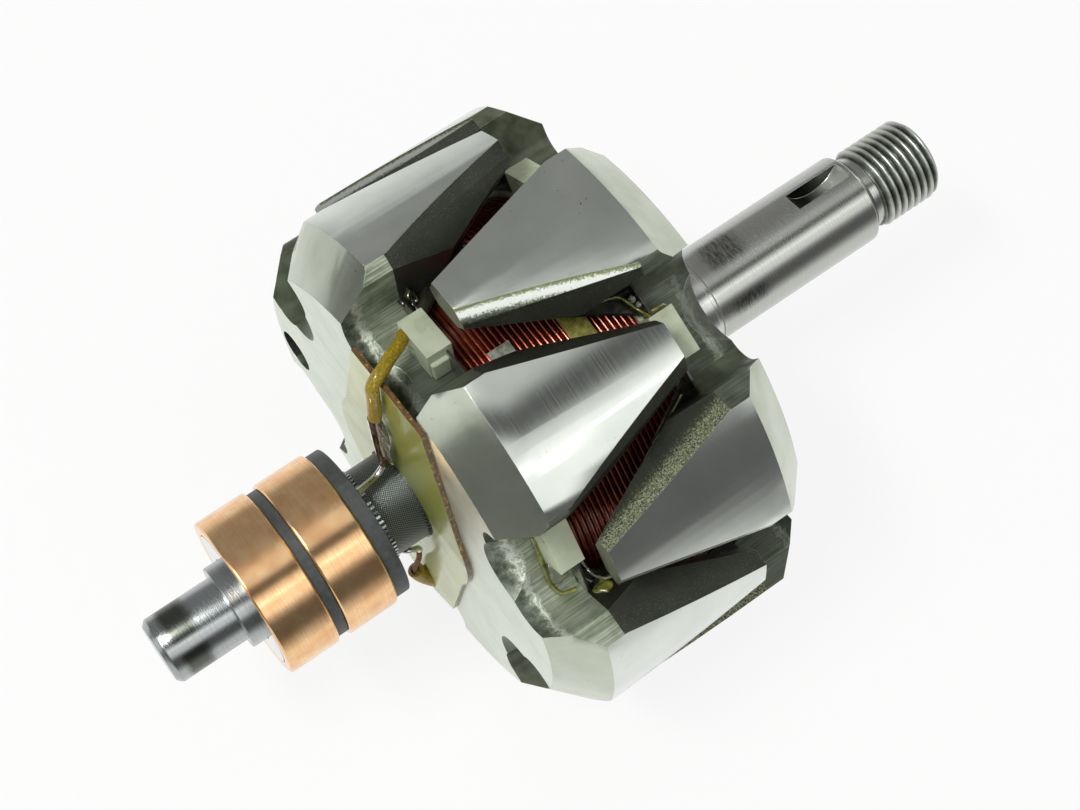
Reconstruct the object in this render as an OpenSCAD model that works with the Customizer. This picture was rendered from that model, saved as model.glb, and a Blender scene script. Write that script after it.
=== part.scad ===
// Claw-pole rotor of a car alternator.
// The shaft lies along X with its drive end towards +X.
// The origin is on the shaft axis, where the drive-end bearing seat begins.

/* [Shaft] */
// Diameter of the drive end, which carries the bearing and the pulley
shaft_d = 17; // [15:0.5:20]
// Length of the drive end from the bearing seat to its threaded tip
drive_l = 35.3; // [30:0.1:45]
// Chamfer at the end of the drive end
drive_chamfer = 1.2; // [0.4:0.1:2]
// Outer diameter of the threaded tip
thread_d = 15.6; // [13:0.1:16]
// Length of the threaded tip with its undercut
thread_l = 13.9; // [10:0.1:20]
// Width of the undercut behind the thread
undercut_w = 1.6; // [0.8:0.1:3]
// Depth of the undercut below the thread
undercut_h = 0.9; // [0.4:0.1:1.5]
// Width of the relief groove at the start of the bearing seat
relief_w = 0.8; // [0.4:0.1:1.5]
// Depth of the relief groove
relief_h = 0.3; // [0.1:0.1:0.8]
// Distance from the bearing seat back to the drive-end pole face
pole_setback = 10.2; // [6:0.1:20]
// Diameter of the knurled neck between the poles and the slip rings
neck_d = 16.4; // [13:0.1:17]
// Length of the knurled neck
neck_l = 9.3; // [7:0.1:14]
// Diameter of the stem that carries the slip-ring hub
stem_d = 15.2; // [13:0.1:16]
// Length of the stem that shows in front of the hub
collar_l = 2.7; // [1:0.1:6]
// Diameter of the slip-ring-end bearing journal
journal_d = 12; // [10:0.1:13]
// Length of the journal
journal_l = 13.2; // [9:0.1:20]
// Chamfer at the ends of the journal and of the threaded tip
end_chamfer = 0.9; // [0.3:0.1:1.5]

/* [Key slot] */
// Width of the half-round key slot
key_w = 4; // [3:0.5:5]
// Diameter of the half-round key
key_d = 13; // [11:0.5:16]
// Depth of the slot below the shaft surface
key_depth = 3.5; // [2:0.1:4]
// Distance of the slot's centre from the end of the drive end
key_setback = 7.5; // [6.6:0.1:12]
// Angle of the slot about the shaft, from the top
key_angle = -15.5; // [-180:0.5:180]

/* [Claw poles] */
// Diameter over the claws
pole_d = 96; // [92:0.5:104]
// Distance between the outer faces of the two poles
pole_l = 50.4; // [47:0.1:56]
// Thickness of a pole's web
web_t = 10.3; // [9:0.1:12]
// Claws on each pole
claws = 6; // [6:1:6]
// Angle of the first slip-ring-end claw, from the top
claw_phase = 24; // [-30:0.5:30]
// Axial length of the turned bevel
bevel_l = 6.9; // [4:0.1:9]
// Radial depth of the turned bevel
bevel_h = 7.2; // [4:0.1:9]
// Length of a claw from the bevel to its tip
claw_l = 30.7; // [26:0.1:33]
// Width of a claw at its root, on the outer face
claw_root_w = 21.4; // [18:0.1:23]
// Width of a claw at its tip, on the outer face
claw_tip_w = 5.7; // [4:0.1:9]
// Length of the claw's root that stays parallel
parallel_l = 3.9; // [2:0.1:6]
// Radial thickness of a claw at its root
claw_root_t = 11.7; // [10:0.1:13]
// Radial thickness of a claw at its tip
claw_tip_t = 4.7; // [3.5:0.1:6]
// Slope of the claw flanks from the radial plane
flank_slope = 18; // [12:1:22]
// Depth of a flank at the claw's root, above its inner bevel
flank_root_h = 10.2; // [8:0.1:11]
// Depth of a flank at the claw's tip, above its inner bevel
flank_tip_h = 2.8; // [2:0.1:3.5]
// Depth of the bevel along one edge of each claw
edge_bevel = 2.2; // [1:0.1:3]
// Slope of that bevel from the radial plane
edge_slope = 45; // [30:1:50]
// Width of the valley between two claws
valley_w = 20.6; // [18:0.1:22]
// Depth of a valley below the claws' outer face
valley_depth = 14.8; // [13:0.1:16]
// Radius of the corners at a valley's floor
valley_corner_r = 4.5; // [2:0.1:7]
// Diameter of the scoop that opens a valley towards the outer face
scoop_d = 16; // [10:0.5:18]
// Depth of the scoop below the valley's floor, at the outer face
scoop_h = 3.8; // [1:0.1:5]
// Tilt of the scoop from the shaft
scoop_tilt = 40; // [30:1:50]
// Diameter of the drilled balance hole
balance_d = 8; // [4:0.5:9]
// Depth of the balance hole, without its drill point
balance_depth = 4; // [2:0.5:7]
// Distance of the balance hole from the claws' outer face
balance_inset = 12; // [11:0.5:18]
// Angle of the balance hole, from the top
balance_angle = -100; // [-110:1:-85]

/* [Field coil] */
// Gap between the claws' roots and the bobbin's cheeks
coil_gap = 1.6; // [0.8:0.1:3]
// Distance that a cheek stands out past the winding
cheek_lip = 0.7; // [0.2:0.1:1]
// Radial height of the winding
winding_h = 8.8; // [6:0.1:10]
// Wall of the bobbin's sleeve
bobbin_wall = 1.2; // [0.8:0.1:2]
// Thickness of each bobbin cheek
cheek_t = 0.9; // [0.6:0.1:2]
// Diameter of the wire
wire_d = 1; // [0.8:0.05:1.6]
// Width of a bobbin tab
tab_w = 8.3; // [5:0.1:9]
// Reach of a tab into its valley
tab_l = 3.2; // [2:0.1:5]
// Radial height of a tab
tab_h = 5.4; // [3:0.1:6]
// Clearance between a tab and the valley's floor
tab_clearance = 0.3; // [0.1:0.1:1]
// Angle by which the front tabs sit off the middle of their valleys
front_tab_turn = -2.3; // [-3:0.1:3]
// Width of a strip of coil tape
tape_w = 4; // [2.4:0.1:5]
// Thickness of the coil tape
tape_t = 0.4; // [0.2:0.1:0.8]
// Angle that a strip of coil tape covers
tape_arc = 34; // [20:1:50]
// Angle of the rear tape's middle, from the top
rear_tape_angle = 12; // [0:1:30]
// Angle of the front tape's middle, from the top
front_tape_angle = 19; // [0:1:30]
// Centre of the rear tape, ahead of the rear cheek
rear_tape_x = 8.5; // [4:0.1:10]
// Centre of the front tape, behind the front cheek
front_tape_x = 6.5; // [4:0.1:10]
// Thickness of the coil liners
liner_t = 0.4; // [0.2:0.1:1]
// Clearance between the coil liners and their neighbours
liner_clearance = 0.3; // [0.1:0.1:0.5]
// Distance by which a liner petal stays inside its claw's flanks
liner_inset = 3.4; // [0.5:0.1:5]
// Length of a liner petal
liner_l = 14; // [8:0.5:20]
// Height by which a liner stands above the floor of a valley
liner_h = 5.4; // [4:0.1:9]

/* [Slip rings] */
// Outer diameter of the slip rings
ring_d = 29.1; // [26:0.1:34]
// Width of each slip ring
ring_w = 9.4; // [7:0.1:12]
// Radial thickness of a slip ring
ring_t = 2.2; // [1.5:0.1:3]
// Gap between the two slip rings
ring_gap = 2; // [1:0.1:3]
// Thickness of the hub's rear flange
flange_t = 2.8; // [1.5:0.1:4]
// Depth of the flange and of the groove below the rings
hub_step = 0.7; // [0.3:0.1:1.2]
// Chamfer on the rims of the slip rings
ring_chamfer = 0.3; // [0.1:0.1:0.6]

/* [Leads] */
// Thickness of the fibre strip
strip_t = 1; // [0.5:0.1:1.6]
// Width of the strip round the neck
strip_mid_w = 37; // [30:0.5:40]
// Width of the strip's upper end
strip_end_w = 19; // [14:0.5:24]
// Sideways offset of the strip's upper end
strip_shift = 3; // [0:0.1:4]
// Distance from the claws' outer face to the strip's upper end
strip_inset = 10; // [9:0.1:14]
// Width of the strip's lower end
strip_tail_w = 18; // [12:0.5:24]
// Distance from the claws' outer face to the strip's lower end
tail_inset = 13; // [10:0.1:18]
// Length of the cut corners of the strip's lower end
tail_cut = 2.8; // [1:0.1:4]
// Outer diameter of a lead's woven sleeve
sleeve_d = 2.3; // [1.8:0.1:2.8]
// Diameter of a tinned lead wire
lead_d = 1.2; // [0.8:0.1:1.5]
// Diameter of a resin-dipped joint
joint_d = 3; // [2.4:0.1:3.4]
// Length of the upper lead's joint
upper_joint_l = 14.2; // [4:0.1:16]
// Length of the lower lead's joint
lower_joint_l = 5; // [3:0.1:16]
// Sideways place of the upper lead's joint
upper_joint_y = 0.4; // [-3:0.1:6]
// Sideways place of the lower lead's joint
lower_joint_y = 4.6; // [-3:0.1:6]
// Clearance between the leads and the strip that they lie on
lead_clearance = 0.15; // [0.1:0.05:0.3]

/* [Hidden] */
$fn = 96;
steel = "#b9beb4";
ground_steel = "#c9ccc6";
copper = "#b98456";
nylon = "#b6bfa3";
eps = 0.01;

// Stations along the shaft
drive_face_x = -pole_setback;
front_face_x = drive_face_x - pole_l;
hub_rear_x = front_face_x - neck_l;
hub_l = flange_t + 2 * ring_w + ring_gap;
hub_front_x = hub_rear_x - hub_l;
collar_x = hub_front_x - collar_l;
journal_x = collar_x - journal_l;
thread_x = drive_l + thread_l;
key_x = drive_l - key_setback;

// Claw pole
pole_r = pole_d / 2;
pole_pitch = 360 / claws;
tip_x = bevel_l + claw_l;
taper_x = bevel_l + parallel_l;
taper_l = tip_x - taper_x;
claw_inner_r = pole_r - claw_root_t;
tip_inner_r = pole_r - claw_tip_t;
claw_slope = (tip_inner_r - claw_inner_r) / (tip_x - web_t);
bevel_out = edge_bevel * (tan(edge_slope) - tan(flank_slope));
valley_floor_r = pole_r - valley_depth;
cut_size = 2 * pole_d;

// Field coil
cheek_x = web_t + liner_t;
winding_x = cheek_x + cheek_t;
winding_l = pole_l - 2 * winding_x;
cheek_r = claw_inner_r - coil_gap;
winding_r = cheek_r - cheek_lip;
sleeve_r = winding_r - winding_h;
core_r = sleeve_r - bobbin_wall;
turns = floor(winding_l / wire_d);
turn_pitch = winding_l / turns;
tab_floor_r = valley_floor_r + tab_clearance;
valley_phase = claw_phase - pole_pitch / 2;

// Slip rings
ring_r = ring_d / 2;
ring_bore_r = ring_r - ring_t;
flange_r = ring_r - hub_step;

// Lead routes, in the frame of the first valley: station, sideways, height
neck_r = neck_d / 2;
strip_top = pole_r - strip_inset;
tail_end = pole_r - tail_inset;
lead_x = front_face_x - strip_t - sleeve_d / 2 - lead_clearance;
joint_x = front_face_x - strip_t - joint_d / 2 - lead_clearance;
joint_end = neck_r + 4.2;
tab_face_x = front_face_x + web_t - tab_l;
function sleeve_route(joint_y, joint_l) = [
    [tab_face_x, 4, tab_floor_r + 3.9],
    [tab_face_x - 1.8, 2.3, strip_top + 0.6],
    [front_face_x + 2.8, 0.8, strip_top + 1.5],
    [front_face_x + 0.6, -0.6, strip_top + 2],
    [front_face_x - 0.9, -1.2, strip_top + 1.9],
    [lead_x + 0.15, -1.4, strip_top + 0.6],
    [lead_x - 0.05, -1.4, strip_top - 2],
    [lead_x, joint_y, joint_end + joint_l],
];
function joint_route(joint_y, joint_l) = [
    [joint_x, joint_y, joint_end + joint_l],
    [joint_x, joint_y, joint_end],
];
function wire_route(joint_y) = [
    [joint_x, joint_y, joint_end],
    [joint_x - 0.4, joint_y, joint_end - 0.9],
    [joint_x - 2.4, joint_y - 0.4, neck_r + 2.2],
    [hub_rear_x + 1.6, -1, flange_r - 2.2],
    [hub_rear_x, -1.4, flange_r - 1.6],
];

function unit(v) = v / norm(v);
function along(path, i) = unit(path[min(i + 1, len(path) - 1)] - path[max(i - 1, 0)]);
function side_of(t) = unit(cross(t, abs(t.y) < 0.9 ? [0, 1, 0] : [0, 0, 1]));
function ring_points(path, i, r, sides) =
    let (t = along(path, i), u = side_of(t), v = cross(t, u))
    [for (k = [0 : sides - 1]) path[i] + r * (cos(360 * k / sides) * u + sin(360 * k / sides) * v)];

// A round tube of one radius along a list of points
module tube(path, r, sides = 10) {
    n = len(path);
    points = [for (i = [0 : n - 1]) each ring_points(path, i, r, sides)];
    walls = [
        for (i = [0 : n - 2], k = [0 : sides - 1])
            let (a = i * sides + k, b = i * sides + (k + 1) % sides)
            each [[a, b, b + sides], [a, b + sides, a + sides]]
    ];
    first_cap = [for (k = [sides - 1 : -1 : 0]) k];
    last_cap = [for (k = [0 : sides - 1]) (n - 1) * sides + k];
    inward = concat(walls, [first_cap, last_cap]);
    polyhedron(points, [for (face = inward) [for (j = [len(face) - 1 : -1 : 0]) face[j]]]);
}

// Turns an outline of (station, radius) points about the X axis
module turned(outline) {
    rotate([0, 90, 0])
        rotate_extrude()
            polygon([for (p = outline) [p.y, p.x]]);
}

// A plain ring about the X axis
module ring_about_x(x, l, inner_r, outer_r) {
    turned([[x, inner_r], [x, outer_r], [x + l, outer_r], [x + l, inner_r]]);
}

// The space beyond the plane through three points
module beyond(a, b, c) {
    u = unit(b - a);
    w = unit(cross(b - a, c - a));
    v = cross(w, u);
    multmatrix([[u.x, v.x, w.x, a.x], [u.y, v.y, w.y, a.y], [u.z, v.z, w.z, a.z], [0, 0, 0, 1]])
        translate([-cut_size, -cut_size, 0])
            cube([2 * cut_size, 2 * cut_size, cut_size]);
}

// A point on a flank that leans by a slope and stands out past the claw's own width
function flank_point(x, depth, slope, out) =
    let (taper = max(0, x - taper_x) / taper_l)
    [x, claw_root_w / 2 * (1 - taper) + claw_tip_w / 2 * taper + out + depth * tan(slope), pole_r - depth];

// The space beyond the parallel and the tapered part of one flank
module beyond_flank(slope, out) {
    start = flank_point(taper_x, 0, slope, out);
    low = flank_point(taper_x, valley_depth, slope, out);
    beyond(flank_point(0, 0, slope, out), start, flank_point(0, valley_depth, slope, out));
    beyond(start, flank_point(tip_x, 0, slope, out), low);
}

// The space under the inner bevel of one flank
module under_flank(out) {
    start = flank_point(taper_x, flank_root_h, flank_slope, out);
    beyond(start, flank_point(tip_x, flank_tip_h, flank_slope, out), start - [0, 1, 1]);
}

// The space between the flanks of one claw, with its root at x = 0
module claw_space(length, margin = 0) {
    difference() {
        translate([-eps, -pole_r, 0])
            cube([length + eps, pole_d, pole_r + eps]);
        beyond_flank(flank_slope, margin);
        mirror([0, 1, 0]) {
            beyond_flank(flank_slope, margin + bevel_out);
            beyond_flank(edge_slope, margin);
        }
    }
}

// The same space with both inner edges bevelled
module bevelled_space() {
    difference() {
        claw_space(tip_x + eps);
        under_flank(0);
        mirror([0, 1, 0])
            under_flank(bevel_out);
    }
}

// The space of one valley along a pole, at the top, drawn in from its walls
module valley_space(x, l, inset = 0) {
    corner_y = valley_w / 2 - valley_corner_r;
    corner_z = valley_floor_r + valley_corner_r;
    translate([x, inset - valley_w / 2, corner_z])
        cube([l, valley_w - 2 * inset, valley_depth]);
    translate([x, -corner_y, valley_floor_r + inset])
        cube([l, 2 * corner_y, valley_depth]);
    for (side = [-1, 1])
        translate([x, side * corner_y, corner_z])
            rotate([0, 90, 0])
                cylinder(r = valley_corner_r - inset, h = l);
}

module scoop() {
    reach = scoop_d / 2 / cos(scoop_tilt);
    translate([0, 0, valley_floor_r - scoop_h + reach])
        rotate([0, 90 - scoop_tilt, 0])
            cylinder(d = scoop_d, h = 4 * web_t, center = true);
}

module pole_web() {
    turned([
        [0, shaft_d / 2],
        [0, pole_r - bevel_h],
        [bevel_l, pole_r],
        [web_t, pole_r],
        [web_t, shaft_d / 2],
    ]);
}

module claw_ring() {
    turned([
        [0, claw_inner_r - bevel_h],
        [0, pole_r - bevel_h],
        [bevel_l, pole_r],
        [tip_x, pole_r],
        [tip_x, tip_inner_r],
        [web_t, claw_inner_r],
    ]);
}

// Places something at each claw, or half a pitch on at each valley
module around(first = 0) {
    for (k = [0 : claws - 1])
        rotate([(k + first) * pole_pitch, 0, 0])
            children();
}

// One claw pole with its outer face at x = 0 and a claw at the top
module claw_pole() {
    difference() {
        union() {
            intersection() {
                pole_web();
                around()
                    claw_space(web_t + eps);
            }
            intersection() {
                claw_ring();
                around()
                    bevelled_space();
            }
        }
        around(0.5) {
            valley_space(-1, tip_x + 2);
            scoop();
        }
    }
}

// A washer against one pole's web, with a petal under each claw and notches for the tabs
module coil_liner(tab_turn) {
    petal_r = claw_inner_r - liner_clearance;
    difference() {
        union() {
            ring_about_x(web_t, liner_t, core_r, petal_r);
            intersection() {
                ring_about_x(web_t, liner_t, core_r, valley_floor_r + liner_h);
                around(0.5)
                    valley_space(web_t - 1, 2, liner_clearance);
            }
            intersection() {
                turned([
                    [web_t, petal_r],
                    [web_t, petal_r - liner_t],
                    [web_t + liner_l, petal_r - liner_t + liner_l * claw_slope],
                    [web_t + liner_l, petal_r + liner_l * claw_slope],
                ]);
                around()
                    claw_space(web_t + liner_l, -liner_inset);
            }
        }
        rotate([tab_turn, 0, 0])
            around(0.5)
                translate([web_t - 1, -tab_w / 2 - liner_clearance, tab_floor_r - liner_clearance])
                    cube([liner_l, tab_w + 2 * liner_clearance, pole_r]);
    }
}

module at_front_pole() {
    translate([front_face_x, 0, 0])
        rotate([claw_phase, 0, 0])
            children();
}

module at_drive_pole() {
    translate([drive_face_x, 0, 0])
        rotate([claw_phase + pole_pitch / 2, 0, 0])
            mirror([1, 0, 0])
                children();
}

module opposite() {
    rotate([180, 0, 0])
        children();
}

module shaft() {
    color(ground_steel)
        difference() {
            turned([
                [journal_x, 0],
                [journal_x, journal_d / 2 - end_chamfer],
                [journal_x + end_chamfer, journal_d / 2],
                [collar_x, journal_d / 2],
                [collar_x, stem_d / 2],
                [hub_rear_x, stem_d / 2],
                [hub_rear_x, neck_d / 2],
                [front_face_x, neck_d / 2],
                [front_face_x, shaft_d / 2],
                [-relief_w, shaft_d / 2],
                [-relief_w, shaft_d / 2 - relief_h],
                [0, shaft_d / 2 - relief_h],
                [0, shaft_d / 2],
                [drive_l - drive_chamfer, shaft_d / 2],
                [drive_l, shaft_d / 2 - drive_chamfer],
                [drive_l, thread_d / 2 - undercut_h],
                [drive_l + undercut_w, thread_d / 2 - undercut_h],
                [drive_l + undercut_w + undercut_h, thread_d / 2],
                [thread_x - end_chamfer, thread_d / 2],
                [thread_x, thread_d / 2 - end_chamfer],
                [thread_x, 0],
            ]);
            rotate([key_angle, 0, 0])
                translate([key_x, 0, shaft_d / 2 - key_depth + key_d / 2])
                    rotate([90, 0, 0])
                        cylinder(d = key_d, h = key_w, center = true);
        }
}

module slip_ring_end_pole() {
    color(steel)
        difference() {
            at_front_pole()
                claw_pole();
            translate([front_face_x, 0, 0])
                rotate([balance_angle, 0, 0])
                    translate([-eps, 0, pole_r - balance_inset])
                        rotate([0, 90, 0]) {
                            cylinder(d = balance_d, h = balance_depth);
                            translate([0, 0, balance_depth])
                                cylinder(d1 = balance_d, d2 = 0, h = balance_d / 4);
                        }
        }
}

module drive_end_pole() {
    color(steel)
        at_drive_pole()
            claw_pole();
}

module field_core() {
    color("dimgray")
        ring_about_x(front_face_x + web_t, pole_l - 2 * web_t, shaft_d / 2, core_r);
}

module bobbin() {
    color(nylon) {
        turned([
            [front_face_x + cheek_x, core_r],
            [front_face_x + cheek_x, cheek_r],
            [front_face_x + winding_x, cheek_r],
            [front_face_x + winding_x, sleeve_r],
            [drive_face_x - winding_x, sleeve_r],
            [drive_face_x - winding_x, cheek_r],
            [drive_face_x - cheek_x, cheek_r],
            [drive_face_x - cheek_x, core_r],
        ]);
        at_front_pole()
            bobbin_tabs(front_tab_turn);
        at_drive_pole()
            bobbin_tabs(0);
    }
}

// Tabs that stand from a cheek into the valleys of one pole
module bobbin_tabs(turn) {
    rotate([turn, 0, 0])
        around(0.5)
            translate([web_t - tab_l, -tab_w / 2, tab_floor_r])
                cube([winding_x - web_t + tab_l, tab_w, tab_h]);
}

module field_winding() {
    bed_r = winding_r - wire_d / 2;
    color("#4a1a10")
        translate([front_face_x + winding_x, 0, 0])
            rotate([0, 90, 0])
                rotate_extrude()
                    union() {
                        translate([sleeve_r, 0])
                            square([bed_r - sleeve_r, winding_l]);
                        for (i = [0 : turns - 1])
                            translate([bed_r, (i + 0.5) * turn_pitch])
                                circle(d = wire_d, $fn = 24);
                    }
}

// A short strip of tape on the outer turns
module coil_tape(x, angle) {
    reach = 2 * winding_r;
    half = reach * tan(tape_arc / 2);
    intersection() {
        ring_about_x(x - tape_w / 2, tape_w, winding_r, winding_r + tape_t);
        rotate([angle, 0, 0])
            translate([x - tape_w, 0, 0])
                rotate([0, 90, 0])
                    linear_extrude(2 * tape_w)
                        polygon([[0, 0], [-reach, half], [-reach, -half]]);
    }
}

module front_coil_tape() {
    color("#9a9a88")
        coil_tape(front_face_x + winding_x + front_tape_x, front_tape_angle);
}

module rear_coil_tape() {
    color("#9d9838")
        coil_tape(drive_face_x - winding_x - rear_tape_x, rear_tape_angle);
}

module front_coil_liner() {
    color("#6f6a2c")
        at_front_pole()
            coil_liner(front_tab_turn);
}

module rear_coil_liner() {
    color("#6f6a2c")
        at_drive_pole()
            coil_liner(0);
}

module slip_ring_hub() {
    color("#303434")
        turned([
            [hub_front_x, stem_d / 2],
            [hub_front_x, ring_bore_r],
            [hub_front_x + ring_w, ring_bore_r],
            [hub_front_x + ring_w, flange_r],
            [hub_front_x + ring_w + ring_gap, flange_r],
            [hub_front_x + ring_w + ring_gap, ring_bore_r],
            [hub_rear_x - flange_t, ring_bore_r],
            [hub_rear_x - flange_t, flange_r],
            [hub_rear_x, flange_r],
            [hub_rear_x, stem_d / 2],
        ]);
}

module slip_ring(x) {
    color(copper)
        turned([
            [x, ring_bore_r],
            [x, ring_r - ring_chamfer],
            [x + ring_chamfer, ring_r],
            [x + ring_w - ring_chamfer, ring_r],
            [x + ring_w, ring_r - ring_chamfer],
            [x + ring_w, ring_bore_r],
        ]);
}

module outer_slip_ring() {
    slip_ring(hub_front_x);
}

module inner_slip_ring() {
    slip_ring(hub_front_x + ring_w + ring_gap);
}

module at_first_valley() {
    rotate([valley_phase, 0, 0])
        children();
}

module lead_strip() {
    color("#b9bf78")
        at_first_valley()
            translate([front_face_x, 0, 0])
                rotate([0, -90, 0])
                    linear_extrude(strip_t)
                        difference() {
                            union() {
                                circle(d = strip_mid_w);
                                polygon([
                                    [-tail_end, -tail_cut],
                                    [tail_cut - tail_end, -strip_tail_w / 2],
                                    [0, -strip_mid_w / 2],
                                    [strip_top, -strip_end_w / 2 - strip_shift],
                                    [strip_top, strip_end_w / 2 - strip_shift],
                                    [0, strip_mid_w / 2],
                                    [tail_cut - tail_end, strip_tail_w / 2],
                                    [-tail_end, tail_cut],
                                ]);
                            }
                            circle(d = neck_d);
                        }
}

module lead_sleeve(joint_y, joint_l) {
    color("#a68a1a")
        at_first_valley()
            tube(sleeve_route(joint_y, joint_l), sleeve_d / 2);
}

module upper_lead_sleeve() {
    lead_sleeve(upper_joint_y, upper_joint_l);
}

module lower_lead_sleeve() {
    opposite()
        lead_sleeve(lower_joint_y, lower_joint_l);
}

module lead_joint(joint_y, joint_l) {
    color("#4b3416")
        at_first_valley()
            tube(joint_route(joint_y, joint_l), joint_d / 2);
}

module upper_lead_joint() {
    lead_joint(upper_joint_y, upper_joint_l);
}

module lower_lead_joint() {
    opposite()
        lead_joint(lower_joint_y, lower_joint_l);
}

module lead_wire(joint_y) {
    color("#c6c8c4")
        at_first_valley()
            tube(wire_route(joint_y), lead_d / 2, 8);
}

module upper_lead_wire() {
    lead_wire(upper_joint_y);
}

module lower_lead_wire() {
    opposite()
        lead_wire(lower_joint_y);
}

shaft();
slip_ring_end_pole();
drive_end_pole();
field_core();
bobbin();
field_winding();
front_coil_tape();
rear_coil_tape();
front_coil_liner();
rear_coil_liner();
slip_ring_hub();
outer_slip_ring();
inner_slip_ring();
lead_strip();
upper_lead_sleeve();
lower_lead_sleeve();
upper_lead_joint();
lower_lead_joint();
upper_lead_wire();
lower_lead_wire();
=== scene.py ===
import math
import bmesh
import bpy
from mathutils import Matrix, Vector, noise


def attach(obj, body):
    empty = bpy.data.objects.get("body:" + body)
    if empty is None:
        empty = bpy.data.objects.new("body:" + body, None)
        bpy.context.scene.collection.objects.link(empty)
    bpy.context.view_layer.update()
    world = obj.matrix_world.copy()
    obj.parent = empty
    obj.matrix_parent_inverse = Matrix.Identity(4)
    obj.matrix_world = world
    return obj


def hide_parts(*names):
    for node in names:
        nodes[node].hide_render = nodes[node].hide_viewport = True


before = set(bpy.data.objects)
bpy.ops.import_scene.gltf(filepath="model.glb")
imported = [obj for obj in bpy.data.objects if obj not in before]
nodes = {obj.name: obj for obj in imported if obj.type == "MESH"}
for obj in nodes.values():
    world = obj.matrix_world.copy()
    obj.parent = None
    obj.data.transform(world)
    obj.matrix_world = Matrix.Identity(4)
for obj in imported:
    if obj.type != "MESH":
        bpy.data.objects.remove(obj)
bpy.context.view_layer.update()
scene = bpy.context.scene
MM = 0.001

# Stations along the shaft and radii, in millimetres, as in the part's source
FACE_X = -60.6
DRIVE_FACE_X = -10.2
WEB_T = 10.3
POLE_R = 48.0
CONE_R = 40.0
HUB_REAR_X = -69.9
NECK_R = 8.2
COIL_X = (-49.0, -21.8)
COIL_R = 34.0
WIRE_D = 1.0
VALLEY_TURN = -6.0
CLAW_TURN = 24.0
CLAW_PITCH = 60
TAB_W = 8.3
TAB_TURN = -2.3
THREAD_X = (36.9, 49.2)
THREAD_ROOT_R = 6.9
THREAD_CORE_R = 6.5
SEAT_R = 8.5
KEY_X = (22.0, 33.6)

# Camera: photographed from above the slip-ring end, with the shaft level
FOCAL_PX = 2053.0
IMAGE_W = 1080
SENSOR_MM = 36.0
AXIS_POINT = Vector((-0.0293, 0, 0))
CAMERA_OFFSET = Vector((-0.08904, -0.11694, 0.31811))
VIEW = Vector((0.24208, 0.33376, -0.91104))
FLOOR_Z = -0.0481


def srgb(code):
    """Linear colour from an sRGB hex value."""
    parts = [int(code[i:i + 2], 16) / 255 for i in (1, 3, 5)]
    return tuple(v / 12.92 if v <= 0.04045 else ((v + 0.055) / 1.055) ** 2.4 for v in parts) + (1,)


def add(tree, kind, *values, out=0, stops=(), mm=None, **settings):
    """Adds one node: values fill its inputs in order, settings go to properties and named sockets.

    An operation may follow the kind after a colon, and mm is the size of a pattern. Gives back one output, or
    all of them where out is None."""
    kind, _, operation = kind.partition(":")
    if operation:
        settings["operation"] = operation
    if mm:
        settings["Scale"] = 1 / (mm * MM)
    node = tree.nodes.new(kind)
    for name in settings:
        if name[0].islower():
            setattr(node, name, settings[name])
    inputs = [s for s in node.inputs if s.enabled]
    pairs = list(zip(inputs, values))
    for name, value in settings.items():
        if not name[0].islower():
            pairs.append((next(s for s in inputs if s.name == name.replace("_", " ")), value))
    for socket, value in pairs:
        if isinstance(value, bpy.types.NodeSocket):
            tree.links.new(value, socket)
        elif value is not None:
            socket.default_value = srgb(value) if isinstance(value, str) else value
    for i, (place, code) in enumerate(stops):
        element = node.color_ramp.elements[i] if i < 2 else node.color_ramp.elements.new(place)
        element.position = place
        element.color = srgb(code)
    outputs = [s for s in node.outputs if s.enabled]
    if out is None:
        return outputs
    return outputs[out] if outputs else node


# Most of a noise lies between these values
NOISE_RANGE = (0.3, 0.7)


def surface(name, **sockets):
    """A new material with these constants on its shader's own sockets.

    Gives back a maker of its nodes, the place on the object, and a function that links the shader's inputs: the
    colour, the roughness by a pattern and its two ends, the relief by a height, strength and mm, and others."""
    material = bpy.data.materials.new(name)
    material.use_nodes = True
    tree = material.node_tree
    inputs = tree.nodes["Principled BSDF"].inputs
    for label, value in sockets.items():
        inputs[label.replace("_", " ")].default_value = value

    def node(kind, *values, **settings):
        if kind == "Mix":
            settings["data_type"] = "RGBA"
        return add(tree, "ShaderNode" + kind, *values, **settings)

    def done(colour, gloss=None, relief=None, **sources):
        sources["Base_Color"] = colour
        if gloss:
            pattern, low, high = gloss
            sources["Roughness"] = node("MapRange", pattern, *NOISE_RANGE, low, high)
        if relief:
            height, strength, depth_mm = relief
            sources["Normal"] = node("Bump", Strength=strength, Distance=depth_mm * MM, Height=height)
        for label, source in sources.items():
            tree.links.new(source, inputs[label.replace("_", " ")])
        return material

    return node, node("TexCoord", out=3), done


def piece(name, mesh, slot, *replaced):
    """Keeps a mesh as a piece of the rotor: it rides on the one body and may stand for CAD nodes."""
    obj = bpy.data.objects.new(name, mesh)
    scene.collection.objects.link(obj)
    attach(obj, "root")
    if replaced:
        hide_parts(*replaced)
    return obj


def beside(turn, points):
    """Points given as station, side and height in the frame of a valley or claw at an angle from the top."""
    sine, cosine = math.sin(math.radians(turn)), math.cos(math.radians(turn))
    return [(x, -height * sine - side * cosine, height * cosine - side * sine) for x, side, height in points]


# Materials; the ramps of masks run between these two
NONE, FULL = "#000000", "#ffffff"


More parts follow.
